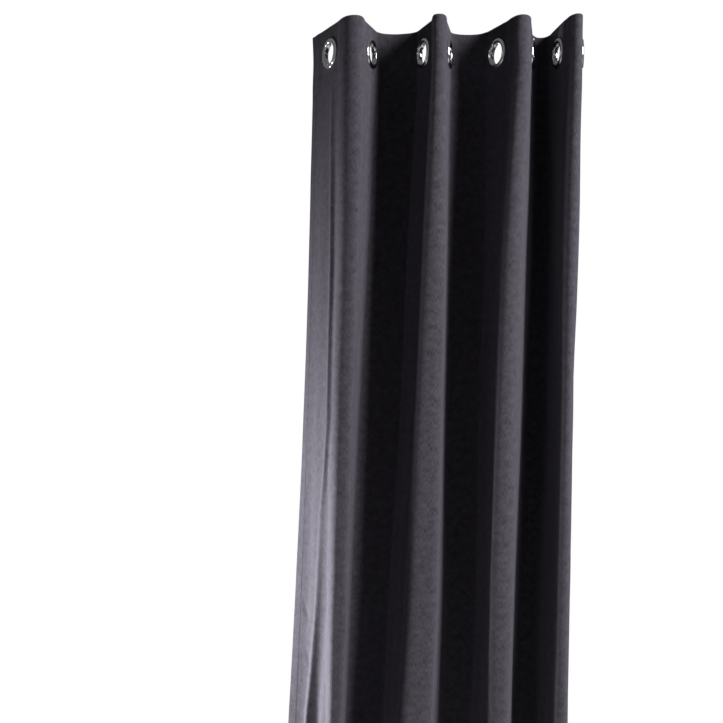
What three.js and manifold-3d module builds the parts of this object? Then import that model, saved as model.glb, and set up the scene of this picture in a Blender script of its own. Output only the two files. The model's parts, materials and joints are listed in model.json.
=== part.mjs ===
// An eyelet curtain panel, gathered on its rod. Millimetres, +Z up.
// The origin is on the rod's axis, midway between the first and the last eyelet. +X runs along the rod,
// to the right as seen from the room, and -Y is the room side.
// One flat sheet of cloth has a stiffened header along its top, and metal eyelets pass through the header.
// The sheet is modelled in sections, one for each eyelet, because each eyelet slides along the rod by itself.
import * as THREE from "three";
import { mergeVertices } from "three/addons/utils/BufferGeometryUtils.js";
import Module from "manifold-3d";

// The rod that the panel is made for. The rod itself is another object.
const rodRadius = 9.5;

// The sheet, laid flat.
const flatWidth = 1400;
const panelLength = 2250;
const clothThickness = 1.2;
const headerHeight = 104;
const hemHeight = 80;
const hemThickness = 2.6;
const hemStep = 1; // over this height the hem's turned edge ends
const eyeletFromTop = 59.5; // the top edge down to the middle of each eyelet

// The stiffening tape, sealed inside the folded header.
const tapeThickness = 1;
const tapeMargin = 3; // short of the fold at the top and of the stitch line below
const layerGap = 0.3; // between any two pieces that lie against each other

// The eyelets: a domed front ring with a barrel, and a flat ring that snaps on behind.
const throatRadius = 22;
const ringRadius = 32.5;
const barrelWall = 1.2;
const frontLip = 0.9; // height of the front ring's rim, before the dome starts
const domeHeight = 4.2;
const backThickness = 2;
const barrelClearance = 0.4;
const ringSides = 20;
const domeSteps = 4;
const flatBesideRing = 2.5; // the cloth stays flat this far past an eyelet's ring

// Where the panel is gathered: the space between eyelets along the rod, each fold's flat front, how far each
// fold's middle stands right of halfway, and how far the two end flaps turn from square to the rod, in degrees.
// The folds lie one way at the header, and have drifted and opened a little where the cloth hangs settled.
const header = {
  startsAt: -268.95,
  spaces: [85.3, 116.7, 51.2, 107.5, 71.2, 60.4, 45.6],
  crowns: [44, 50, 36, 58, 36, 34, 26],
  leans: [8, -4, 0, -7, 7, 4, 1],
  flapAngles: [28, 10],
};
const settled = {
  startsAt: -305,
  spaces: [70, 100, 105, 80, 65, 80, 42],
  crowns: [34, 50, 66, 42, 36, 45, 24],
  leans: [4, 0, 0, 0, 2, 0, 0],
  flapAngles: [34, 12],
};
const settledBelow = 1450; // below the rod's axis

const foldSteps = 5; // facets from an eyelet's flat to the middle of a fold
const foldRoundness = 0.6; // how far round, as a share of its depth, a fold's legs run on before they turn
const sectionGap = 0.4; // between one section's cloth and the next

// Sizes that follow from the ones above.
const eyeletCount = header.spaces.length + 1;
const pitch = flatWidth / eyeletCount;
const flatAroundEyelet = ringRadius + flatBesideRing;
const layersThickness = 2 * clothThickness + 2 * layerGap + tapeThickness;
const frontFace = layersThickness / 2;
const eyeletHeight = rodRadius - throatRadius; // the throat hangs on top of the rod
const topEdge = eyeletHeight + eyeletFromTop;
const stitchLine = topEdge - headerHeight;
const bottomEdge = topEdge - panelLength;
const barrelRadius = throatRadius + barrelWall;
const holeRadius = barrelRadius + barrelClearance;

const clothFinish = new THREE.MeshStandardMaterial({ color: 0x39363d, roughness: 0.9, metalness: 0 });
const tapeFinish = new THREE.MeshStandardMaterial({ color: 0xd8d6d0, roughness: 0.85, metalness: 0 });
const ringFinish = new THREE.MeshStandardMaterial({ color: 0xc9cacc, roughness: 0.12, metalness: 1 });

const wasm = await Module();
wasm.setup();

// How deep a fold is when its legs and crown take up one pitch of cloth and its corners are sharp.
function sharpDepth(space, crown) {
  const leg = (pitch - crown) / 2;
  return Math.sqrt(Math.max(leg ** 2 - ((space - crown) / 2) ** 2, 1));
}

// Folds stand in front of the rod and behind it by turns: the first is in front.
const foldSide = (fold) => (fold % 2 ? 1 : -1);

// One way of gathering the sheet, as curves seen from above: the cloth's own middle line in each fold.
function gather({ startsAt, spaces, crowns, leans, flapAngles }) {
  const places = spaces.reduce((at, space) => [...at, at.at(-1) + space], [startsAt]);
  const middles = spaces.map((space, i) => places[i] + space / 2 + leans[i]);
  const sharp = spaces.map((space, i) => foldSide(i) * sharpDepth(space, crowns[i]));

  // The way the cloth runs through each eyelet: from the fold before it to the fold after it.
  const last = places.length - 1;
  const directions = places.map((x, i) => {
    if (i === 0 || i === last) {
      const angle = THREE.MathUtils.degToRad(flapAngles[i === 0 ? 0 : 1]);
      const towards = i === 0 ? foldSide(0) : -foldSide(last - 1);
      return new THREE.Vector2(Math.sin(angle), towards * Math.cos(angle));
    }
    const from = new THREE.Vector2(middles[i - 1] + crowns[i - 1] / 2, sharp[i - 1]);
    const to = new THREE.Vector2(middles[i] - crowns[i] / 2, sharp[i]);
    return to.sub(from).normalize();
  });
  const eyelets = places.map((x, i) => ({ centre: new THREE.Vector2(x, 0), direction: directions[i] }));
  const folds = spaces.map((space, i) =>
    foldOfLength(pitch, eyelets[i], eyelets[i + 1], middles[i], crowns[i], foldSide(i)),
  );
  return { eyelets, folds };
}

// The curve from one eyelet round the crown of a fold to the next eyelet.
function foldCurve(before, after, middle, crown, depth) {
  const out = before.centre.clone().addScaledVector(before.direction, flatAroundEyelet);
  const back = after.centre.clone().addScaledVector(after.direction, -flatAroundEyelet);
  const reach = foldRoundness * Math.max(Math.abs(depth) - flatAroundEyelet, 1);
  const top = new THREE.Vector2(middle, depth);
  const left = new THREE.Vector2(middle - crown / 2, depth);
  const right = new THREE.Vector2(middle + crown / 2, depth);
  const curve = new THREE.CurvePath();
  curve.add(new THREE.LineCurve(before.centre, out));
  curve.add(new THREE.CubicBezierCurve(out, out.clone().addScaledVector(before.direction, reach), left, top));
  curve.add(new THREE.CubicBezierCurve(top, right, back.clone().addScaledVector(after.direction, -reach), back));
  curve.add(new THREE.LineCurve(back, after.centre));
  return curve;
}

// The same, as deep as it takes for the cloth in it to be the given length.
function foldOfLength(length, before, after, middle, crown, side) {
  let low = 0;
  let high = length;
  for (let i = 0; i < 30; i++) {
    const depth = (low + high) / 2;
    if (foldCurve(before, after, middle, crown, side * depth).getLength() < length) low = depth;
    else high = depth;
  }
  return foldCurve(before, after, middle, crown, (side * (low + high)) / 2);
}

const gathered = { header: gather(header), settled: gather(settled) };

// Where the cloth is, seen from above, at a distance from an eyelet along the flat sheet, and which way it runs.
function alongCloth({ eyelets, folds }, index, distance) {
  const { centre, direction } = eyelets[index];
  const inFold = index + (distance < 0 ? -1 : 0);
  if (inFold < 0 || inFold >= folds.length || Math.abs(distance) <= flatAroundEyelet)
    return { point: centre.clone().addScaledVector(direction, distance), direction };
  const share = (distance < 0 ? pitch + distance : distance) / pitch;
  return { point: folds[inFold].getPointAt(share), direction: folds[inFold].getTangentAt(share) };
}

// A point of the flat sheet, hung: along the cloth from its eyelet, out of the cloth towards the room face,
// and height. The header hangs straight, and from the stitch line down the folds drift to where they settle.
function hang(index, distance, outward, height) {
  const t = THREE.MathUtils.clamp((stitchLine - height) / (stitchLine + settledBelow), 0, 1);
  const [upper, lower] = [gathered.header, gathered.settled].map((way) => {
    const { point, direction } = alongCloth(way, index, distance);
    const normal = new THREE.Vector2(direction.y, -direction.x);
    return point.clone().addScaledVector(normal, outward);
  });
  const plan = upper.clone().lerp(lower, t);
  return new THREE.Vector3(plan.x, plan.y, height);
}

// The distances along the cloth, from its eyelet, at which a section has its columns of points. Cloth and tape
// share them, so that their facets run side by side, and the tape stops short at the panel's two straight ends.
function columns(index, shortAtEnds) {
  const [left, right] = [index === 0, index === eyeletCount - 1].map((atEnd) => {
    const half = pitch / 2 - (atEnd ? shortAtEnds : sectionGap / 2);
    return Array.from({ length: foldSteps + 1 }, (_, i) =>
      THREE.MathUtils.lerp(flatAroundEyelet, half, i / foldSteps),
    );
  });
  return [...left.toReversed().map((x) => -x), ...right];
}

// Turns the diagonals of a box's back face, so that both faces of a thin slab bend along the same lines.
function alignDiagonals(box) {
  const back = box.groups.at(-1);
  for (let i = back.start; i < back.start + back.count; i += 6) {
    const [a, b, d, , c] = box.index.array.slice(i, i + 6);
    box.index.array.set([a, b, c, a, c, d], i);
  }
}

// A section of cloth or tape: a flat slab with a column of points at each distance along the cloth and a row at
// each pair of [outward, height] points, one on its outer face and one on its inner face, hung in its folds.
function hungSection(index, rows, shortAtEnds) {
  const at = columns(index, shortAtEnds);
  const slab = new THREE.BoxGeometry(at.length - 1, rows.length - 1, 1, at.length - 1, rows.length - 1, 1);
  alignDiagonals(slab);
  const places = slab.getAttribute("position");
  for (let i = 0; i < places.count; i++) {
    const column = Math.round(places.getX(i) + (at.length - 1) / 2);
    const row = Math.round(places.getY(i) + (rows.length - 1) / 2);
    const [outward, height] = rows[row][places.getZ(i) > 0 ? 0 : 1];
    places.setXYZ(i, ...hang(index, at[column], outward, height).toArray());
  }
  return slab;
}

// The sheet from its hem up the front, over the top of the header, and down its back to the stitch line.
function clothRows() {
  const innerFace = frontFace - clothThickness;
  const backOfHem = frontFace - hemThickness;
  const hemTop = bottomEdge + hemHeight;
  return [
    [[frontFace, bottomEdge], [backOfHem, bottomEdge]],
    [[frontFace, hemTop - hemStep], [backOfHem, hemTop - hemStep]],
    [[frontFace, hemTop], [innerFace, hemTop]],
    [[frontFace, -settledBelow], [innerFace, -settledBelow]],
    [[frontFace, stitchLine], [innerFace, stitchLine]],
    [[frontFace, topEdge], [innerFace, topEdge - clothThickness]],
    [[-frontFace, topEdge], [-innerFace, topEdge - clothThickness]],
    [[-frontFace, stitchLine], [-innerFace, stitchLine]],
  ];
}

function tapeRows() {
  const half = tapeThickness / 2;
  const foot = stitchLine + tapeMargin;
  const top = topEdge - clothThickness - tapeMargin;
  return [foot, top].map((height) => [[half, height], [-half, height]]);
}

const outlineOf = (points) => points.map(([x, y]) => new THREE.Vector2(x, y));

// A closed mesh as a manifold-3d solid, and back.
function solid(geometry) {
  const bare = geometry.clone();
  bare.deleteAttribute("normal");
  bare.deleteAttribute("uv");
  const merged = mergeVertices(bare, 1e-4);
  return new wasm.Manifold(
    new wasm.Mesh({
      numProp: 3,
      vertProperties: merged.getAttribute("position").array,
      triVerts: new Uint32Array(merged.index.array),
    }),
  );
}

function geometryOf(made) {
  const { vertProperties, triVerts } = made.getMesh();
  return new THREE.BufferGeometry()
    .setAttribute("position", new THREE.BufferAttribute(vertProperties, 3))
    .setIndex(new THREE.BufferAttribute(triVerts, 1));
}

// Turns a piece made round the Y axis, with its top towards +Y, to stand in an eyelet's place: its axis lies
// square to the cloth, and its top faces out of the cloth's room side.
function atEyelet(index) {
  const { centre, direction } = gathered.header.eyelets[index];
  const outward = new THREE.Vector3(direction.y, -direction.x, 0);
  const up = new THREE.Vector3(0, 0, 1);
  const across = new THREE.Vector3().crossVectors(outward, up);
  return new THREE.Matrix4()
    .makeBasis(across, outward, up)
    .setPosition(centre.x, centre.y, eyeletHeight);
}

// Cuts the eyelet's hole through the layers.
function pierced(geometry, index) {
  const throughAll = 2 * layersThickness;
  const cutter = new THREE.CylinderGeometry(holeRadius, holeRadius, throughAll, ringSides);
  return geometryOf(solid(geometry).subtract(solid(cutter.applyMatrix4(atEyelet(index)))));
}

function ring(profile, index) {
  const closed = outlineOf([...profile, profile[0]]);
  return new THREE.LatheGeometry(closed, ringSides).applyMatrix4(atEyelet(index));
}

const ringSeat = frontFace + layerGap; // how far from the header's middle both rings' inner faces stand

function frontRing(index) {
  const dome = Array.from({ length: domeSteps + 1 }, (_, i) => {
    const angle = (Math.PI * i) / domeSteps;
    const middle = (ringRadius + throatRadius) / 2;
    const half = (ringRadius - throatRadius) / 2;
    return [middle + half * Math.cos(angle), ringSeat + frontLip + domeHeight * Math.sin(angle)];
  });
  const barrelEnd = -(ringSeat + backThickness);
  return ring(
    [[barrelRadius, barrelEnd], [barrelRadius, ringSeat], [ringRadius, ringSeat], ...dome, [throatRadius, barrelEnd]],
    index,
  );
}

function backRing(index) {
  const bevel = backThickness / 2;
  const face = -(ringSeat + backThickness);
  return ring(
    [
      [holeRadius, face],
      [ringRadius - bevel, face],
      [ringRadius, face + bevel],
      [ringRadius, -ringSeat],
      [holeRadius, -ringSeat],
    ],
    index,
  );
}

function named(name, geometry, material) {
  const mesh = new THREE.Mesh(geometry, material);
  mesh.name = name;
  return mesh;
}

const panel = new THREE.Group();
for (let index = 0; index < eyeletCount; index++) {
  const section = new THREE.Group();
  const number = index + 1;
  const cloth = pierced(hungSection(index, clothRows(), 0), index);
  const tape = pierced(hungSection(index, tapeRows(), tapeMargin), index);
  section.add(
    named(`cloth_${number}`, cloth, clothFinish),
    named(`header_tape_${number}`, tape, tapeFinish),
    named(`eyelet_front_${number}`, frontRing(index), ringFinish),
    named(`eyelet_back_${number}`, backRing(index), ringFinish),
  );
  panel.add(section);
}

export default panel;
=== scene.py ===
import json
import math
import bpy
import numpy as np
from mathutils import Matrix, Vector

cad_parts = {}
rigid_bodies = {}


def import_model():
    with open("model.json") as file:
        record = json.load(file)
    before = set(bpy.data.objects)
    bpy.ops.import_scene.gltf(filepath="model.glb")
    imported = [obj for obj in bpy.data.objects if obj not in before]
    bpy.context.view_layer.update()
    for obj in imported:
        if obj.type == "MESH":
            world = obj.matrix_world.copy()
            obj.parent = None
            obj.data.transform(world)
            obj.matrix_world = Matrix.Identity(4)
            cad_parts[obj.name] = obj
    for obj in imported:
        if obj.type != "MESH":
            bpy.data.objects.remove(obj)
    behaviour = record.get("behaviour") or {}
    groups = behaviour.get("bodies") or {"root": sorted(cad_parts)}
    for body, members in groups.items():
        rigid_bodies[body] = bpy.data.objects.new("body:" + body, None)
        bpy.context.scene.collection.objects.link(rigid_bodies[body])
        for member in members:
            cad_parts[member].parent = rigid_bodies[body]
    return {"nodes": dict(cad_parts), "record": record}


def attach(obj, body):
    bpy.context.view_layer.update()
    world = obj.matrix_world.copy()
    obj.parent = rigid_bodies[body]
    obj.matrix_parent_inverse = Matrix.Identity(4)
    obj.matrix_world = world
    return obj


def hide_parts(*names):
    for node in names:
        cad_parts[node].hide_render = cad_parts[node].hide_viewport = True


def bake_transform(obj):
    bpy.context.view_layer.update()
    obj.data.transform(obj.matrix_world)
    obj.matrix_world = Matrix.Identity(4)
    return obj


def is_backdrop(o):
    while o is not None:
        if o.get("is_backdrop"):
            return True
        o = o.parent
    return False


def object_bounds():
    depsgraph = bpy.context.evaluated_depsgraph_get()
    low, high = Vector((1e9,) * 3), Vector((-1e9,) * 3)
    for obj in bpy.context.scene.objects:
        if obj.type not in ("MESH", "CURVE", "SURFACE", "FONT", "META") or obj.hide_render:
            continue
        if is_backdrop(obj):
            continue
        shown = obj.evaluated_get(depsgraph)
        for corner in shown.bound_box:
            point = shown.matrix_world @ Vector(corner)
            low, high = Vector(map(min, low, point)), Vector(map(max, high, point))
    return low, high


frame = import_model()
cadLow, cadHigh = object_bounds()
print("frame loaded:", len(frame["nodes"]), "nodes")

# the eyelets' places, from the frame
throats = sorted(frame["record"]["physics"]["openings"], key=lambda box: box["box_m"][0][0])
eyeletCount = len(throats)


def eyeletPlace(index):
    low, high = (Vector(corner) for corner in throats[index]["box_m"])
    flats = frame["nodes"][f"eyelet_back_{index + 1}"].data.polygons
    outward = max(flats, key=lambda face: face.area).normal.copy()
    outward.z = 0
    side = -1 if index % 2 == 0 else 1  # the room face looks left and right by turns
    if outward.x * side < 0:
        outward.negate()
    return (low + high) / 2, outward.normalized()


eyelets = [eyeletPlace(index) for index in range(eyeletCount)]
eyeletX = [centre.x for centre, _ in eyelets]
eyeletZ = eyelets[0][0].z

# how the sheet hangs
sheet = {
    "pitch": 0.175,  # of cloth between eyelets
    "thickness": 0.0011,
    "headerHeight": 0.104,
    "headerDepth": 0.0028,  # between the middles of the header's two layers
    "hemHeight": 0.080,
    "hemDepth": 0.0014,
    "sideHemWidth": 0.024,
    "columnsPerPitch": 60,
    "rowHeight": 0.008,
    "headerRowHeight": 0.003,
    "flatAroundEyelet": 0.035,
    "foldRoundness": 0.4,  # how far a fold's curve holds its leg's direction, as a share of its depth
    "foldPoints": 80,
    "driftBelow": 0.12,  # how much further the folds drift below the lowest level
    "holeRadius": 0.0245,
    "smoothUnder": 60,  # degrees between faces that shade as one
}
sheet["width"] = sheet["pitch"] * eyeletCount
topEdge, bottomEdge = cadHigh.z, cadLow.z
stitchLine = topEdge - sheet["headerHeight"]

# each level: where the eyelets' lines of cloth stand, each fold's crown width, and how far its middle
# stands right of halfway; the two end flaps turn from square to the rod by flapAngles, in degrees
levels = [
    {
        "height": stitchLine,
        "lines": eyeletX,
        "crowns": [0.044, 0.050, 0.036, 0.058, 0.036, 0.034, 0.026],
        "leans": [0.008, -0.004, 0, -0.007, 0.007, 0.004, 0.001],
        "flapAngles": [28, 10],
    },
    {
        "height": -0.80,
        "lines": [-0.288, -0.220, -0.103, -0.030, 0.069, 0.137, 0.208, 0.252],
        "crowns": [0.042, 0.050, 0.070, 0.050, 0.041, 0.040, 0.025],
        "leans": [0.017, -0.002, 0.004, -0.003, -0.007, 0.002, -0.005],
        "flapAngles": [28.5, 11],
    },
    {
        "height": -1.45,
        "lines": [-0.305, -0.245, -0.140, -0.046, 0.050, 0.115, 0.195, 0.237],
        "crowns": [0.044, 0.050, 0.080, 0.042, 0.044, 0.045, 0.024],
        "leans": [0.016, 0, 0.007, 0, 0.003, 0, -0.003],
        "flapAngles": [40, 12],
    },
]


def foldSide(fold):
    return 1 if fold % 2 else -1  # in front of the rod, then behind it


def bezier(a, b, c, d, steps):
    t = np.linspace(0, 1, steps)[:, None]
    return a * (1 - t) ** 3 + 3 * b * t * (1 - t) ** 2 + 3 * c * t * t * (1 - t) + d * t**3


def foldLine(before, beforeWay, after, afterWay, middle, crown, depth):
    flat = sheet["flatAroundEyelet"]
    out, back = before + beforeWay * flat, after - afterWay * flat
    reach = sheet["foldRoundness"] * max(abs(depth) - flat, 0.001)
    top = np.array([middle, depth])
    half = np.array([crown / 2, 0])
    steps = sheet["foldPoints"]
    up = bezier(out, out + beforeWay * reach, top - half, top, steps)
    down = bezier(top, top + half, back - afterWay * reach, back, steps)
    return np.vstack([before, up, down[1:], after])


def lineLength(line):
    return np.linalg.norm(np.diff(line, axis=0), axis=1).sum()


# the fold whose cloth has the given length: its depth is found by halving
def foldOfLength(length, side, *shape):
    low, high = 0.0, length
    for _ in range(30):
        depth = (low + high) / 2
        if lineLength(foldLine(*shape, side * depth)) < length:
            low = depth
        else:
            high = depth
    return foldLine(*shape, side * depth)


# the cloth's line seen from above at one level, as points and their distances along the sheet
def planLine(level):
    pitch, lines = sheet["pitch"], level["lines"]
    spaces = np.diff(lines)
    middles = [lines[i] + spaces[i] / 2 + level["leans"][i] for i in range(len(spaces))]
    sharp = []
    for i, space in enumerate(spaces):
        leg = (pitch - level["crowns"][i]) / 2
        spread = (space - level["crowns"][i]) / 2
        sharp.append(foldSide(i) * math.sqrt(max(leg**2 - spread**2, 1e-6)))
    ways = []
    last = len(lines) - 1
    for i in range(len(lines)):
        if i in (0, last):
            angle = math.radians(level["flapAngles"][0 if i == 0 else 1])
            towards = foldSide(0) if i == 0 else -foldSide(last - 1)
            ways.append(np.array([math.sin(angle), towards * math.cos(angle)]))
        else:
            start = np.array([middles[i - 1] + level["crowns"][i - 1] / 2, sharp[i - 1]])
            end = np.array([middles[i] - level["crowns"][i] / 2, sharp[i]])
            ways.append((end - start) / np.linalg.norm(end - start))
    centres = [np.array([x, 0.0]) for x in lines]
    line = [centres[0] - ways[0] * pitch / 2]
    for i in range(last):
        fold = foldOfLength(
            pitch,
            foldSide(i),
            centres[i],
            ways[i],
            centres[i + 1],
            ways[i + 1],
            middles[i],
            level["crowns"][i],
        )
        line += list(fold[:-1])
    line += [centres[-1], centres[-1] + ways[-1] * pitch / 2]
    line = np.array(line)
    along = np.concatenate([[0], np.cumsum(np.linalg.norm(np.diff(line, axis=0), axis=1))])
    return line, along * sheet["width"] / along[-1]


planLines = [planLine(level) for level in levels]


# points and outward normals of a level's plan at the given distances along the sheet
def planAt(plan, along):
    line, at = plan
    step = 0.002
    point = np.stack([np.interp(along, at, line[:, k]) for k in (0, 1)], 1)
    ahead = np.stack([np.interp(along + step, at, line[:, k]) for k in (0, 1)], 1)
    behind = np.stack([np.interp(along - step, at, line[:, k]) for k in (0, 1)], 1)
    way = ahead - behind
    way /= np.linalg.norm(way, axis=1)[:, None]
    return point, np.stack([way[:, 1], -way[:, 0]], 1)


noise = {"cells": 128, "start": (7.3, 64.1)}


# smooth noise from -1 to 1, whose lumps are about sizeS wide and sizeZ tall
def softNoise(s, z, sizeS, sizeZ, seed):
    cells = noise["cells"]
    grid = np.random.default_rng(seed).uniform(-1, 1, (cells, cells))
    u, v = s / sizeS + noise["start"][0], z / sizeZ + noise["start"][1]
    i, j = np.floor(u).astype(int), np.floor(v).astype(int)
    fu, fv = u - i, v - j
    fu, fv = fu * fu * (3 - 2 * fu), fv * fv * (3 - 2 * fv)
    i, j, nextI, nextJ = i % cells, j % cells, (i + 1) % cells, (j + 1) % cells
    a, b = grid[i, j], grid[nextI, j]
    c, d = grid[i, nextJ], grid[nextI, nextJ]
    return (a * (1 - fu) + b * fu) * (1 - fv) + (c * (1 - fu) + d * fu) * fv


wrinkles = {
    "fadeIn": 0.22,  # of height below the header, over which they grow
    "fadePower": 1.5,
    # height, width and length of each lump, and its seed
    "lumps": [(0.0045, 0.075, 0.38, 11), (0.0009, 0.026, 0.50, 12), (0.0003, 0.024, 0.08, 13)],
}

# sharp ridges, each with a groove to its right: one runs down from the leading eyelet towards the first
# fold's corner, and the other takes over below it. Places are from the leading eyelet's line, along the
# cloth.
creaseFadeIn = 0.06
creases = [
    {
        "heights": [-0.06, -0.35, -0.55, -0.80, -0.90, -1.02],
        "places": [0.012, 0.022, 0.032, 0.042, 0.030, 0.010],
        "rises": [0.001, 0.005, 0.006, 0.006, 0.005, 0],
        "ridge": 0.0075,
        "groove": (0.1, 0.016, 0.008),  # share of the ridge's height, how far from it, and width
    },
    {
        "heights": [-0.90, -1.02, -1.20, -1.45, -2.2],
        "places": [0.020, 0.010, 0.002, -0.026, -0.034],
        "rises": [0, 0.002, 0.004, 0.006, 0.004],
        "ridge": 0.009,
        "groove": (1.1, 0.028, 0.018),
    },
]

# small slanting dents in the leading flap: place from the eyelet's line, height, length, slant in degrees
# and depth
dents = [
    (-0.035, -0.932, 0.030, 8, 0.0016),
    (-0.045, -1.226, 0.040, -55, 0.0018),
    (-0.030, -1.33, 0.045, -62, 0.0016),
]
dentWidth = 0.006

header = {
    "pucker": (0.0013, 0.017, 0.07, 21),  # as for the wrinkles' lumps
    "clearOfEyelet": (0.036, 0.052),
    "fadeOut": 0.04,  # of height below the stitch line
}


# how far the cloth stands out of its smooth folds, at distances along the sheet and heights
def wrinkleHeight(s, z):
    fade = np.clip((stitchLine - z) / wrinkles["fadeIn"], 0, 1) ** wrinkles["fadePower"]
    total = np.zeros(s.shape)
    for height, wide, tall, seed in wrinkles["lumps"]:
        total += height * softNoise(s, z, wide, tall, seed)
    total *= fade

    height, wide, tall, seed = header["pucker"]
    near, far = header["clearOfEyelet"]
    fromEyelet = np.abs(s / sheet["pitch"] - np.floor(s / sheet["pitch"]) - 0.5) * sheet["pitch"]
    clear = np.clip((fromEyelet - near) / (far - near), 0, 1)
    clear = clear * np.clip((z - stitchLine) / header["fadeOut"] + 1, 0, 1)
    total += height * softNoise(s, z, wide, tall, seed) * clear

    away = s - sheet["pitch"] / 2
    for crease in creases:
        heights = [-value for value in crease["heights"]]
        beside = away - np.interp(-z, heights, crease["places"])
        rise = np.interp(-z, heights, crease["rises"]) * np.clip((stitchLine - z) / creaseFadeIn, 0, 1)
        share, step, width = crease["groove"]
        total += rise * np.exp(-((beside / crease["ridge"]) ** 2))
        total -= rise * share * np.exp(-(((beside - step) / width) ** 2))
    for place, level, length, slant, depth in dents:
        c, d = math.cos(math.radians(slant)), math.sin(math.radians(slant))
        run = (away - place) * c + (z - level) * d
        across = (z - level) * c - (away - place) * d
        total -= depth * np.exp(-((run / length * 2) ** 4) - (across / dentWidth) ** 2)
    return total


# how much of each level's plan is in the cloth at the given heights: all three are passed through in one
# smooth bend, which dies away below the lowest
def levelShares(height):
    top, foot = levels[0]["height"], levels[-1]["height"]
    t = np.maximum((top - height) / (top - foot), 0)
    runOn = sheet["driftBelow"]
    t = np.where(t > 1, 1 + runOn * (1 - np.exp(-(np.maximum(t, 1) - 1) / runOn)), t)
    middle = (top - levels[1]["height"]) / (top - foot)
    first = (t - middle) * (t - 1) / middle
    second = t * (t - 1) / (middle * (middle - 1))
    return first, second, 1 - first - second


# points of the flat sheet, hung: distances along the sheet, how far out of it, and heights
def hangPoints(along, outward, height):
    along, outward, height = np.broadcast_arrays(along, outward, height)
    places, column = np.unique(along, return_inverse=True)
    column = column.reshape(along.shape)
    point, normal = 0, 0
    for plan, share in zip(planLines, levelShares(height)):
        at, out = planAt(plan, places)
        point = point + at[column] * share[..., None]
        normal = normal + out[column] * share[..., None]
    normal /= np.linalg.norm(normal, axis=-1)[..., None]
    point = point + normal * (outward + wrinkleHeight(along, height))[..., None]
    return np.concatenate([point, height[..., None]], axis=-1), normal


# helpers for modelling
def deselectAll():
    if bpy.context.object and bpy.context.object.mode != "OBJECT":
        bpy.ops.object.mode_set(mode="OBJECT")
    bpy.ops.object.select_all(action="DESELECT")


# leaves only the given corners or faces of a mesh selected for the next edit
def selectOnly(piece, mode, chosen):
    makeActive(piece)
    bpy.ops.object.mode_set(mode="EDIT")
    bpy.ops.mesh.select_mode(type=mode)
    bpy.ops.mesh.select_all(action="DESELECT")
    bpy.ops.object.mode_set(mode="OBJECT")
    parts = piece.data.vertices if mode == "VERT" else piece.data.polygons
    parts.foreach_set("select", chosen)
    bpy.ops.object.mode_set(mode="EDIT")


def makeActive(piece):
    deselectAll()
    piece.select_set(True)
    bpy.context.view_layer.objects.active = piece


def applyModifier(piece, kind, **settings):
    makeActive(piece)
    modifier = piece.modifiers.new(kind.title(), kind)
    for name, value in settings.items():
        setattr(modifier, name, value)
    bpy.ops.object.modifier_apply(modifier=modifier.name)


# gives a surface its thickness, both ways from its middle, with crisp cut edges
def thicken(piece, thickness):
    applyModifier(piece, "SOLIDIFY", thickness=thickness, offset=0)
    makeActive(piece)
    bpy.ops.object.shade_smooth_by_angle(angle=math.radians(sheet["smoothUnder"]))


def pointsOf(piece):
    co = np.empty(len(piece.data.vertices) * 3)
    piece.data.vertices.foreach_get("co", co)
    return co.reshape(-1, 3)


def setPoints(piece, co):
    piece.data.vertices.foreach_set("co", np.asarray(co, float).ravel())
    piece.data.update()


# a flat grid of cloth, hung: columns along the sheet, rows of (out of it, height)
def hungGrid(name, along, rows):
    rows = np.array(rows)
    deselectAll()
    bpy.ops.mesh.primitive_grid_add(x_subdivisions=len(along) - 1, y_subdivisions=len(rows) - 1, size=1)
    piece = bpy.context.object
    piece.name = name
    flat = pointsOf(piece)
    column = np.rint((flat[:, 0] + 0.5) * (len(along) - 1)).astype(int)
    row = np.rint((flat[:, 1] + 0.5) * (len(rows) - 1)).astype(int)
    path = np.concatenate([[0], np.cumsum(np.linalg.norm(np.diff(rows, axis=0), axis=1))])
    s, z = along[column], rows[row, 1]
    setPoints(piece, hangPoints(s, rows[row, 0], z)[0])
    mesh = piece.data
    cornerVertex = np.empty(len(mesh.loops), int)
    mesh.loops.foreach_get("vertex_index", cornerVertex)
    uv = np.stack([s, path[row]], 1)[cornerVertex]
    mesh.uv_layers[0].data.foreach_set("uv", uv.astype(np.float32).ravel())
    mesh.uv_layers[0].name = "cut"
    mesh.attributes.new("along", "FLOAT", "POINT").data.foreach_set("value", s.astype(np.float32))
    cutHoles(piece, s, z)
    for polygon in mesh.polygons:
        polygon.use_smooth = True
    return piece


# takes out the cloth inside each eyelet; the rings cover the edge that is left
def cutHoles(piece, s, z):
    centres = (np.arange(eyeletCount) + 0.5) * sheet["pitch"]
    nearest = centres[np.argmin(np.abs(s[:, None] - centres[None]), axis=1)]
    selectOnly(piece, "VERT", np.hypot(s - nearest, z - eyeletZ) < sheet["holeRadius"])
    bpy.ops.mesh.delete(type="VERT")
    bpy.ops.object.mode_set(mode="OBJECT")


def clothColumns():
    count = sheet["columnsPerPitch"] * eyeletCount
    return np.linspace(0, sheet["width"], count + 1)


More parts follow.
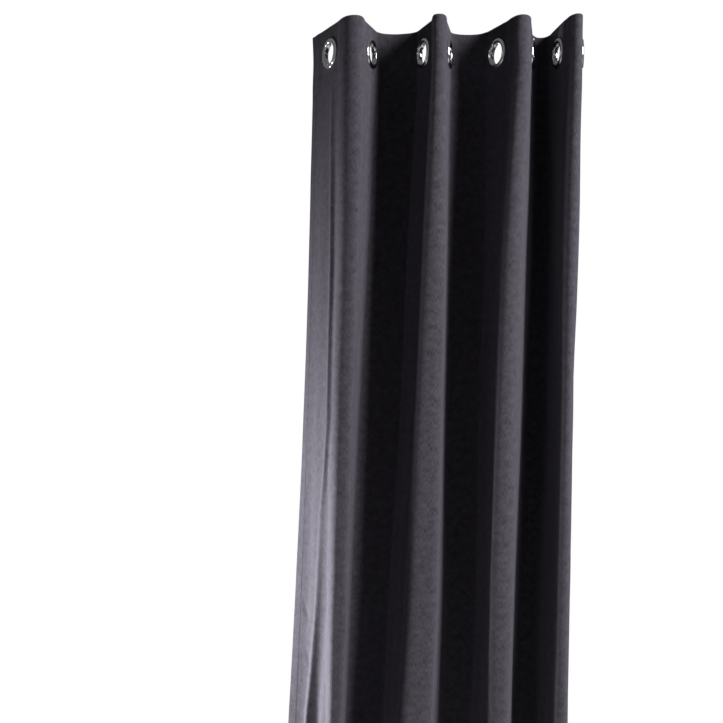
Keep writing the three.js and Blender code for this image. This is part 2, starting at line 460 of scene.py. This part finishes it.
# from the hem's turned edge down its back, up the front, over the top and down the header's back
def clothRows():
    front = sheet["headerDepth"] / 2
    back = -front
    hemBack = front - sheet["hemDepth"]
    hemTop = bottomEdge + sheet["hemHeight"]
    low, high = bottomEdge + sheet["thickness"] / 2, topEdge - sheet["thickness"] / 2

    def straight(out, start, end, step):
        count = max(2, int(round(abs(end - start) / step)))
        return [(out, z) for z in np.linspace(start, end, count + 1)]

    def turn(first, second, height, side):  # a half round between two layers
        middle, half = (first + second) / 2, (first - second) / 2
        angles = np.linspace(0, math.pi, 6)[1:-1]
        return [(middle + half * math.cos(a), height + side * abs(half) * math.sin(a)) for a in angles]

    hemTurn, topTurn = sheet["hemDepth"] / 2, sheet["headerDepth"] / 2
    rows = straight(hemBack, hemTop, low + hemTurn, sheet["rowHeight"])
    rows += turn(hemBack, front, low + hemTurn, -1)
    rows += straight(front, low + hemTurn, stitchLine, sheet["rowHeight"])
    rows += straight(front, stitchLine, high - topTurn, sheet["headerRowHeight"])[1:]
    rows += turn(front, back, high - topTurn, 1)
    rows += straight(back, high - topTurn, stitchLine, sheet["headerRowHeight"])
    return rows


# materials
def newMaterial(name):
    material = bpy.data.materials.new(name)
    material.use_nodes = True
    return material, material.node_tree, material.node_tree.nodes["Principled BSDF"]


def addNode(tree, kind, values=None, **settings):
    node = tree.nodes.new(kind)
    for name, value in settings.items():
        setattr(node, name, value)
    for name, value in (values or {}).items():
        node.inputs[name].default_value = value
    return node


def brushedCloth():
    look = {
        "dark": (0.030, 0.027, 0.033, 1),
        "light": (0.105, 0.098, 0.118, 1),
        "mottle": 60,  # lumps of nap in each metre of cloth
        "mottleShare": 0.35,
        "fleck": (700, 110, 1),  # across and down, in each metre
        "fleckShare": 0.65,
        "range": (0.34, 0.66),  # of the mix, from dark to light
        "thread": 1100,
        "nap": 2.2,  # how much higher the flecks stand than the threads
    }
    material, tree, shader = newMaterial("brushedCharcoal")
    cut = addNode(tree, "ShaderNodeUVMap", uv_map="cut")
    links = tree.links
    mottle = addNode(tree, "ShaderNodeTexNoise", {"Scale": look["mottle"], "Detail": 5, "Roughness": 0.6})
    links.new(cut.outputs["UV"], mottle.inputs["Vector"])
    stretch = addNode(tree, "ShaderNodeMapping", {"Scale": look["fleck"]})
    links.new(cut.outputs["UV"], stretch.inputs["Vector"])
    fleck = addNode(tree, "ShaderNodeTexNoise", {"Scale": 1, "Detail": 3, "Roughness": 0.7})
    links.new(stretch.outputs["Vector"], fleck.inputs["Vector"])
    both = addNode(tree, "ShaderNodeMath", operation="MULTIPLY_ADD")
    both.inputs[1].default_value = look["mottleShare"]
    links.new(mottle.outputs["Fac"], both.inputs[0])
    share = addNode(tree, "ShaderNodeMath", operation="MULTIPLY")
    share.inputs[1].default_value = look["fleckShare"]
    links.new(fleck.outputs["Fac"], share.inputs[0])
    links.new(share.outputs["Value"], both.inputs[2])
    ramp = addNode(tree, "ShaderNodeValToRGB")
    for element, place, colour in zip(ramp.color_ramp.elements, look["range"], (look["dark"], look["light"])):
        element.position = place
        element.color = colour
    links.new(both.outputs["Value"], ramp.inputs["Fac"])
    links.new(ramp.outputs["Color"], shader.inputs["Base Color"])
    weave = addNode(tree, "ShaderNodeMath", operation="MAXIMUM")
    threadWave = {"Scale": look["thread"] / (2 * math.pi), "Distortion": 1.5}
    for socket, axis in enumerate(("X", "Y")):
        thread = addNode(tree, "ShaderNodeTexWave", threadWave, bands_direction=axis)
        links.new(cut.outputs["UV"], thread.inputs["Vector"])
        links.new(thread.outputs["Fac"], weave.inputs[socket])
    nap = addNode(tree, "ShaderNodeMath", operation="MULTIPLY_ADD")
    nap.inputs[1].default_value = look["nap"]
    links.new(fleck.outputs["Fac"], nap.inputs[0])
    links.new(weave.outputs["Value"], nap.inputs[2])
    bump = addNode(tree, "ShaderNodeBump", {"Strength": 0.35, "Distance": 0.0006})
    links.new(nap.outputs["Value"], bump.inputs["Height"])
    links.new(bump.outputs["Normal"], shader.inputs["Normal"])
    shader.inputs["Roughness"].default_value = 0.92
    shader.inputs["Specular IOR Level"].default_value = 0.08
    shader.inputs["Sheen Weight"].default_value = 0.35
    shader.inputs["Sheen Roughness"].default_value = 0.45
    shader.inputs["Sheen Tint"].default_value = (0.80, 0.76, 0.92, 1)
    return material


def plainWeave(name, dark, light, scale):
    material, tree, shader = newMaterial(name)
    place = addNode(tree, "ShaderNodeTexCoord")
    noise = addNode(tree, "ShaderNodeTexNoise", {"Scale": scale, "Detail": 4})
    tree.links.new(place.outputs["Object"], noise.inputs["Vector"])
    ramp = addNode(tree, "ShaderNodeValToRGB")
    ramp.color_ramp.elements[0].color = dark
    ramp.color_ramp.elements[1].color = light
    tree.links.new(noise.outputs["Fac"], ramp.inputs["Fac"])
    tree.links.new(ramp.outputs["Color"], shader.inputs["Base Color"])
    bump = addNode(tree, "ShaderNodeBump", {"Strength": 0.4, "Distance": 0.0004})
    tree.links.new(noise.outputs["Fac"], bump.inputs["Height"])
    tree.links.new(bump.outputs["Normal"], shader.inputs["Normal"])
    shader.inputs["Roughness"].default_value = 0.85
    return material


def polishedChrome():
    material, tree, shader = newMaterial("polishedChrome")
    place = addNode(tree, "ShaderNodeTexCoord")
    haze = addNode(tree, "ShaderNodeTexNoise", {"Scale": 220, "Detail": 3})
    tree.links.new(place.outputs["Object"], haze.inputs["Vector"])
    rough = addNode(tree, "ShaderNodeMapRange", {"To Min": 0.08, "To Max": 0.20})
    tree.links.new(haze.outputs["Fac"], rough.inputs["Value"])
    tree.links.new(rough.outputs["Result"], shader.inputs["Roughness"])
    tint = addNode(tree, "ShaderNodeValToRGB")
    tint.color_ramp.elements[0].color = (0.62, 0.62, 0.66, 1)
    tint.color_ramp.elements[1].color = (0.80, 0.80, 0.82, 1)
    tree.links.new(haze.outputs["Fac"], tint.inputs["Fac"])
    tree.links.new(tint.outputs["Color"], shader.inputs["Base Color"])
    shader.inputs["Metallic"].default_value = 1
    return material


clothLook = brushedCloth()
tapeLook = plainWeave("stiffBuckram", (0.55, 0.53, 0.49, 1), (0.82, 0.81, 0.78, 1), 900)
threadLook = plainWeave("charcoalThread", (0.020, 0.018, 0.022, 1), (0.060, 0.056, 0.066, 1), 2500)
chromeLook = polishedChrome()
print("materials made")


# the split at the eyelets
# the sheet is cut into pieces along the eyelets' lines. The two end pieces follow their own sections. For
# each fold piece, the code finds the leaning band between its two eyelets' lines that stays widest, but does
# not use it, and the piece stays where it hangs. Each span has its name, its start and end in pitches along
# the sheet, and the sections it belongs to.
spans = [("leading_edge", 0, 0.5, [1])]
spans += [(f"fold_{k}", k - 0.5, k + 0.5, [k, k + 1]) for k in range(1, eyeletCount)]
spans += [("parked_edge", eyeletCount - 0.5, eyeletCount, [eyeletCount])]


def splitAlong(whole, kind):
    parts = {}
    for span, _, last, _ in spans:
        if span == spans[-1][0]:
            part = whole
        else:
            mesh = whole.data
            along = np.empty(len(mesh.vertices), np.float32)
            mesh.attributes["along"].data.foreach_get("value", along)
            corner = np.empty(len(mesh.loops), int)
            mesh.loops.foreach_get("vertex_index", corner)
            starts = np.empty(len(mesh.polygons), int)
            mesh.polygons.foreach_get("loop_start", starts)
            totals = np.empty(len(mesh.polygons), int)
            mesh.polygons.foreach_get("loop_total", totals)
            middle = np.add.reduceat(along[corner], starts) / totals
            before = set(bpy.data.objects)
            selectOnly(whole, "FACE", middle < last * sheet["pitch"])
            bpy.ops.mesh.separate(type="SELECTED")
            bpy.ops.object.mode_set(mode="OBJECT")
            part = (set(bpy.data.objects) - before).pop()
        part.name = part.data.name = f"{kind}_{span}"
        parts[span] = part
    return parts


bend = {
    "seamSlack": 0.006,  # margin kept each side of an eyelet's line when the bend's band is sought
    "steepest": 0.05,  # the most that the bend's planes may lean
    "tries": 201,
}


def lineAt(index, height):
    return sum(share * level["lines"][index] for share, level in zip(levelShares(height), levels))


def followEyelets(part, sections):
    if sections == [1]:
        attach(part, "section_1")
        return
    if sections == [eyeletCount]:
        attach(part, f"section_{eyeletCount}")
        return
    number = sections[0]
    left, right = number - 1, number
    heights = [level["height"] for level in levels] + [bottomEdge]
    widest = (0, 0, 0)
    # the bend's planes lean with the eyelets' lines as they drift to the left
    for tilt in np.linspace(0, bend["steepest"], bend["tries"]):
        starts, ends = [], []
        for height in heights:
            moved = tilt * (heights[0] - height)
            margins = [bend["seamSlack"]] * 2
            if height == heights[0]:
                margins = [ringEdge(left), ringEdge(right)]
            starts.append(lineAt(left, height) + moved + margins[0])
            ends.append(lineAt(right, height) + moved - margins[1])
        widest = max(widest, (min(ends) - max(starts), max(starts), tilt))
    width, start, tilt = widest
    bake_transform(part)


# how far an eyelet's rings reach along the rod from its middle
def ringEdge(index):
    halfAcross, halfDeep, spare = 0.031, 0.0045, 0.001
    _, outward = eyelets[index]
    return abs(outward.y) * halfAcross + abs(outward.x) * halfDeep + spare


# cloth
sheetPath = clothRows()
whole = hungGrid("cloth", clothColumns(), sheetPath)
whole.data.materials.append(clothLook)
cloths = splitAlong(whole, "cloth")
for part in cloths.values():
    thicken(part, sheet["thickness"])
print("cloth hung:", sum(len(part.data.polygons) for part in cloths.values()), "faces")

# the header's stiffening tape
tape = {"thickness": 0.0009, "margin": 0.003, "rowHeight": 0.006}


def tapeRows():
    foot = stitchLine + tape["margin"]
    top = topEdge - sheet["thickness"] - tape["margin"]
    count = int(round((top - foot) / tape["rowHeight"]))
    return [(0, z) for z in np.linspace(foot, top, count + 1)]


tapeColumns = clothColumns()
tapeColumns[0], tapeColumns[-1] = tape["margin"], sheet["width"] - tape["margin"]
wholeTape = hungGrid("tape", tapeColumns, tapeRows())
wholeTape.data.materials.append(tapeLook)
tapes = splitAlong(wholeTape, "tape")
for part in tapes.values():
    thicken(part, tape["thickness"])
print("tape laid in the header")

# stitching
stitching = {
    "length": 0.0032,
    "gap": 0.0013,
    "width": 0.0007,
    "proud": 0.0002,
    "headerRow": 0.002,  # above the header's foot
    "hemRow": 0.003,  # below the hem's turned edge
    "sideRow": 0.002,  # inside each side hem's turned edge
    "clearOfSides": 0.004,
    "clearOfEnds": 0.006,
}


# every stitch as its distance along the sheet, its height, and 1 where it runs upright
def stitchRows():
    step = stitching["length"] + stitching["gap"]
    rows = []
    inset, ends, beside = stitching["clearOfSides"], stitching["clearOfEnds"], stitching["sideRow"]
    hemRow = bottomEdge + sheet["hemHeight"] - stitching["hemRow"]
    for height in (stitchLine + stitching["headerRow"], hemRow):
        for s in np.arange(inset, sheet["width"] - inset, step):
            rows.append((s, height, 0))
    for s in (sheet["sideHemWidth"] - beside, sheet["width"] - sheet["sideHemWidth"] + beside):
        for height in np.arange(bottomEdge + ends, stitchLine - ends, step):
            rows.append((s, height, 1))
    return np.array(rows)


def oneStitch():
    deselectAll()
    bpy.ops.mesh.primitive_ico_sphere_add(subdivisions=1, radius=0.5)
    piece = bpy.context.object
    piece.scale = (stitching["length"], stitching["width"], stitching["width"])
    bpy.ops.object.transform_apply(scale=True)
    return piece


def sewnStitches(name, rows, shape):
    s, height, upright = rows[:, 0], rows[:, 1], rows[:, 2]
    out = sheet["headerDepth"] / 2 + sheet["thickness"] / 2 + stitching["proud"]
    middle, normal = hangPoints(s, out, height)
    normal = np.column_stack([normal, np.zeros(len(s))])
    ahead, behind = (hangPoints(s + step, out, height)[0] for step in (0.001, -0.001))
    along = ahead - behind
    along /= np.linalg.norm(along, axis=1)[:, None]
    up = np.tile([0.0, 0.0, 1.0], (len(s), 1))
    run = np.where(upright[:, None] > 0, up, along)
    across = np.cross(normal, run)
    base = pointsOf(shape)
    co = middle[:, None] + base[None, :, :1] * run[:, None] + base[None, :, 1:2] * across[:, None]
    co = co + base[None, :, 2:] * normal[:, None]
    faces = np.array([list(p.vertices) for p in shape.data.polygons])
    count = len(base)
    mesh = bpy.data.meshes.new(name)
    allFaces = (faces[None] + (np.arange(len(s)) * count)[:, None, None]).reshape(-1, 3)
    mesh.from_pydata(co.reshape(-1, 3).tolist(), [], allFaces.tolist())
    mesh.materials.append(threadLook)
    piece = bpy.data.objects.new(name, mesh)
    bpy.context.scene.collection.objects.link(piece)
    return piece


stitchShape = oneStitch()
allStitches = stitchRows()
stitches = {}
for span, first, last, _ in spans:
    low, high = first * sheet["pitch"], last * sheet["pitch"]
    mine = allStitches[(allStitches[:, 0] >= low) & (allStitches[:, 0] < high)]
    stitches[span] = sewnStitches(f"stitches_{span}", mine, stitchShape)
bpy.data.objects.remove(stitchShape)
print("stitches sewn:", len(allStitches))

# the side hems
sideHem = {
    "depth": 0.0013,
    "columns": 8,
    "fromEdge": 0.0006,
    "aboveHem": 0.004,
    "thinner": 0.9,  # than the cloth, so that it hides behind it
}


def sideHemStrip(name, edge, inward):
    front = sheet["headerDepth"] / 2
    count = sideHem["columns"]
    s = edge + inward * np.linspace(sideHem["fromEdge"], sheet["sideHemWidth"], count + 1)
    foot = bottomEdge + sheet["hemHeight"] + sideHem["aboveHem"]
    rows = [(front - sideHem["depth"], z) for z in np.arange(foot, stitchLine, sheet["rowHeight"])]
    piece = hungGrid(name, np.sort(s), rows)
    piece.data.materials.append(clothLook)
    thicken(piece, sheet["thickness"] * sideHem["thinner"])
    return piece


sideHems = {
    "leading_edge": sideHemStrip("side_hem_leading", 0, 1),
    "parked_edge": sideHemStrip("side_hem_parked", sheet["width"], -1),
}

for span, _, _, sections in spans:
    for part in [cloths[span], tapes[span], stitches[span]] + [h for k, h in sideHems.items() if k == span]:
        followEyelets(part, sections)

# eyelets
ring = {
    "throat": 0.022,
    "outer": 0.0325,
    "wall": 0.0012,
    "seat": 0.0023,  # from the header's middle to each ring's inner face
    "lip": 0.0009,
    "dome": 0.0042,
    "back": 0.0020,
    "curl": 0.0006,  # of the barrel's end, over the back ring
    "barrelGap": 0.0004,
    "rimRound": 0.001,
    "edgeBreak": 0.0003,
    "sides": 72,
    "domePoints": 12,
    "smoothUnder": 40,
}


def frontProfile():
    barrelEnd = -(ring["seat"] + ring["back"])
    middle, half = (ring["outer"] + ring["throat"]) / 2, (ring["outer"] - ring["throat"]) / 2
    lipTop, outerWall = ring["seat"] + ring["lip"], ring["throat"] + ring["wall"]
    points = [(outerWall, barrelEnd), (outerWall, ring["seat"]), (ring["outer"], ring["seat"])]
    for angle in np.linspace(0, math.pi, ring["domePoints"]):
        points.append((middle + half * math.cos(angle), lipTop + ring["dome"] * math.sin(angle)))
    points.append((ring["throat"], barrelEnd + ring["curl"]))
    points.append((ring["throat"] + ring["wall"] / 2, barrelEnd - ring["curl"] / 2))
    return points


def backProfile():
    gap, rim, bevel = ring["barrelGap"], ring["outer"], ring["rimRound"]
    inner, face = ring["throat"] + ring["wall"] + gap, -(ring["seat"] + ring["back"])
    points = [(inner, -ring["seat"]), (inner, face + ring["edgeBreak"]), (inner + gap, face)]
    for angle in np.linspace(-math.pi / 2, 0, 5):
        points.append((rim - bevel + bevel * math.cos(angle), face + bevel + bevel * math.sin(angle)))
    return points + [(rim, -ring["seat"])]


# spins a closed profile of (radius, height) round the Y axis
def spunRing(name, profile):
    deselectAll()
    bpy.ops.mesh.primitive_circle_add(vertices=len(profile), radius=0.01)
    piece = bpy.context.object
    piece.name = name
    setPoints(piece, [(radius, height, 0) for radius, height in profile])
    bpy.ops.object.mode_set(mode="EDIT")
    bpy.ops.mesh.select_all(action="SELECT")
    bpy.ops.mesh.spin(steps=ring["sides"], angle=2 * math.pi, center=(0, 0, 0), axis=(0, 1, 0))
    bpy.ops.mesh.select_all(action="SELECT")
    bpy.ops.mesh.remove_doubles(threshold=1e-5)
    bpy.ops.mesh.normals_make_consistent(inside=False)
    bpy.ops.object.mode_set(mode="OBJECT")
    bpy.ops.object.shade_smooth_by_angle(angle=math.radians(ring["smoothUnder"]))
    piece.data.materials.append(chromeLook)
    return piece


def setInPlace(model, index, name):
    piece = model.copy()
    piece.data = model.data.copy()
    piece.name = name
    bpy.context.scene.collection.objects.link(piece)
    centre, outward = eyelets[index]
    up = Vector((0, 0, 1))
    turn = Matrix((outward.cross(up), outward, up)).transposed().to_4x4()
    piece.data.transform(Matrix.Translation(centre) @ turn)
    return piece


frontModel = spunRing("front_model", frontProfile())
backModel = spunRing("back_model", backProfile())
for index in range(eyeletCount):
    number = index + 1
    for model, kind in ((frontModel, "front"), (backModel, "back")):
        piece = setInPlace(model, index, f"ring_{kind}_{number}")
        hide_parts(f"eyelet_{kind}_{number}")
        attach(piece, f"section_{number}")
for model in (frontModel, backModel):
    bpy.data.objects.remove(model)
print("eyelets set")

# what stands for what
for span, first, last, sections in spans:
    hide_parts(*[f"cloth_{number}" for number in sections])
    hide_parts(*[f"header_tape_{number}" for number in sections])

# floor, light and camera
studio = {
    "floorSize": 4,
    "floorDrop": 0.02,  # from the hem to the floor
    "seen": 1.0,  # the world's strength to the camera
    "lit": 0.015,  # as light on the cloth
    "shine": 0.16,  # in the rings
}
deselectAll()
bpy.ops.mesh.primitive_plane_add(size=studio["floorSize"], location=(0, 0, bottomEdge - studio["floorDrop"]))
floor = bpy.context.object
floor.name = "floor"
bpy.ops.object.transform_apply(location=True)
floor.data.materials.append(plainWeave("paleFloor", (0.78, 0.78, 0.78, 1), (0.82, 0.82, 0.82, 1), 40))
floor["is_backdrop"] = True
print("floor laid")


def areaLight(name, place, aim, size, power, colour, spread=180):
    data = bpy.data.lights.new(name, "AREA")
    data.spread = math.radians(spread)
    data.shape = "RECTANGLE"
    data.size, data.size_y = size
    data.energy = power
    data.color = colour
    light = bpy.data.objects.new(name, data)
    bpy.context.scene.collection.objects.link(light)
    light.location = place
    light.rotation_euler = (Vector(aim) - Vector(place)).to_track_quat("-Z", "Y").to_euler()


# a soft key from the room, to the right; a low light from the left, which catches the folds' near edges;
# a harder one from beside the wall, which rakes the leading flap; and a wall light that only the back of
# the cloth sees
areaLight("key", (2.30, -1.88, 0.35), (0, 0, -0.9), (0.9, 2.0), 140, (1.0, 0.98, 1.0))
areaLight("leftSide", (-2.6, -0.30, -1.6), (0, 0, -1.2), (0.4, 0.8), 5.5, (1.0, 0.99, 1.0), 60)
areaLight("leftRake", (-2.5, 1.15, -2.0), (-0.3, 0, -1.30), (0.4, 0.8), 19, (0.98, 0.97, 1.0), 44)
areaLight("wallBounce", (0.3, 2.8, 0.4), (0, 0, -1.0), (2.0, 1.6), 45, (1.0, 0.99, 0.97))

world = bpy.data.worlds.new("studio")
bpy.context.scene.world = world
world.use_nodes = True
sky = world.node_tree
sky.nodes.clear()
seen = addNode(sky, "ShaderNodeBackground", {"Color": (1, 1, 1, 1), "Strength": studio["seen"]})
lit = addNode(sky, "ShaderNodeBackground", {"Color": (0.95, 0.96, 1, 1), "Strength": studio["lit"]})
shine = addNode(sky, "ShaderNodeBackground", {"Color": (1, 0.98, 0.95, 1), "Strength": studio["shine"]})
gloss = addNode(sky, "ShaderNodeMixShader")
pick = addNode(sky, "ShaderNodeMixShader")
rays = addNode(sky, "ShaderNodeLightPath")
output = addNode(sky, "ShaderNodeOutputWorld")
sky.links.new(rays.outputs["Is Glossy Ray"], gloss.inputs["Fac"])
sky.links.new(lit.outputs["Background"], gloss.inputs[1])
sky.links.new(shine.outputs["Background"], gloss.inputs[2])
sky.links.new(rays.outputs["Is Camera Ray"], pick.inputs["Fac"])
sky.links.new(gloss.outputs["Shader"], pick.inputs[1])
sky.links.new(seen.outputs["Background"], pick.inputs[2])
sky.links.new(pick.outputs["Shader"], output.inputs["Surface"])

viewer = {"place": (-0.203, -2.160, -0.677), "lens": 49.8, "sensor": 36}
cameraData = bpy.data.cameras.new("camera")
cameraData.lens = viewer["lens"]
cameraData.sensor_width = viewer["sensor"]
camera = bpy.data.objects.new("camera", cameraData)
bpy.context.scene.collection.objects.link(camera)
camera.location = viewer["place"]
camera.rotation_euler = (math.pi / 2, 0, 0)
bpy.context.scene.camera = camera
bpy.context.scene.view_settings.view_transform = "Standard"
print("lights and camera set")

low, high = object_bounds()
print("CAD box", [round(v, 4) for v in (*cadLow, *cadHigh)])
print("visual box", [round(v, 4) for v in (*low, *high)])
